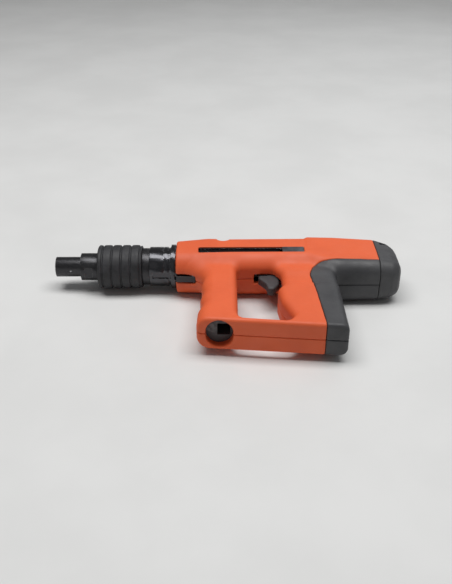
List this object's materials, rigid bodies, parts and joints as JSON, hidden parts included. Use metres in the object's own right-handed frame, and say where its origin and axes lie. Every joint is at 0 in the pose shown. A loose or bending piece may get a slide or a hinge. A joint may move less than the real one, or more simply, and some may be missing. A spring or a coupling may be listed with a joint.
{
  "type": "powder-actuated nail gun",
  "caption": "Strip-fed powder-actuated fastening tool with ribbed muzzle sleeve, sliding barrel, closed hand grip, curved trigger and strip passage through the fore grip.",
  "frame": {"origin": "centre of the fastener guide's bore at the muzzle tip", "axes": "+X along the bore axis from muzzle to butt, +Y to the top of the tool, +Z out of the left flank; the tool lies on its right flank"},
  "size_m": [0.35, 0.1661, 0.0484],
  "materials": {
    "orange_plastic": "moulded, fine grain",
    "black_plastic": "moulded, fine grain",
    "black_rubber": "ribbed, matt",
    "blued_steel": "black oxide, satin",
    "bright_steel": "ground",
    "polished_black": "black chrome, polished",
    "spring_steel": "drawn wire",
    "zinc_screw": "black zinc"
  },
  "bodies": {
    "housing": {"housing_left": "orange_plastic", "housing_right": "orange_plastic", "backstrap_left": "black_plastic", "backstrap_right": "black_plastic", "butt_cap": "black_plastic", "receiver_sleeve": "polished_black", "slot_guide": "bright_steel", "breech_block": "bright_steel", "spring_plug": "blued_steel", "rear_buffer": "black_rubber", "trigger_pin": "bright_steel", "sear_pin": "bright_steel", "catch_pin": "bright_steel", "strip_guide": "black_plastic", "housing_screws": "zinc_screw", "cap_screws": "zinc_screw", "press_spring": "spring_steel", "firing_spring": "spring_steel", "trigger_spring": "spring_steel", "feed_spring": "spring_steel", "catch_spring": "spring_steel"},
    "barrel": {"fastener_guide": "blued_steel", "detent_ball": "bright_steel", "base_collar": "blued_steel", "rubber_sleeve": "black_rubber", "muzzle_base": "blued_steel", "barrel_tube": "polished_black", "inner_barrel": "bright_steel", "barrel_centring_ring": "blued_steel", "piston_buffer": "black_rubber", "stop_washer": "bright_steel"},
    "piston": {"piston": "bright_steel", "piston_rings": "spring_steel"},
    "firing_pin": {"firing_pin": "bright_steel"},
    "trigger": {"trigger": "black_plastic"},
    "sear": {"sear": "bright_steel"},
    "barrel_catch": {"barrel_catch": "blued_steel"},
    "feed_slide": {"feed_slide": "bright_steel"}
  },
  "joints": [
    {"name": "barrel_slide", "type": "slide", "parent": "housing", "child": "barrel", "axis": [-1, 0, 0], "range_m": [-0.0115, 0.066], "deforming": ["press_spring"]},
    {"name": "piston_stroke", "type": "slide", "parent": "barrel", "child": "piston", "axis": [-1, 0, 0], "range_m": [0, 0.05]},
    {"name": "firing_pin_slide", "type": "slide", "parent": "housing", "child": "firing_pin", "axis": [1, 0, 0], "range_m": [0, 0.012], "stiffness_N_per_m": 1200, "springref_m": -0.004, "deforming": ["firing_spring"]},
    {"name": "trigger_pull", "type": "hinge", "parent": "housing", "child": "trigger", "pos_m": [0.221, -0.0235, 0], "axis": [0, 0, 1], "range_deg": [0, 12], "stiffness_Nm_per_rad": 0.5, "springref_deg": -11.46, "deforming": ["trigger_spring"]},
    {"name": "sear_turn", "type": "hinge", "parent": "housing", "child": "sear", "pos_m": [0.236, -0.012, 0], "axis": [0, 0, 1], "range_deg": [0, 6.5]},
    {"name": "catch_release", "type": "hinge", "parent": "housing", "child": "barrel_catch", "pos_m": [0.142, -0.025, 0], "axis": [0, 0, 1], "range_deg": [0, 8], "stiffness_Nm_per_rad": 0.1, "springref_deg": -11.46},
    {"name": "feed_travel", "type": "slide", "parent": "housing", "child": "feed_slide", "axis": [0, 1, 0], "range_m": [-0.0018, 0.01], "deforming": ["feed_spring"]}
  ],
  "couplings": [
    {"joint": "sear_turn", "follows": "trigger_pull", "ratio": 0.5},
    {"joint": "feed_travel", "follows": "barrel_slide", "ratio": 0.15}
  ]
}
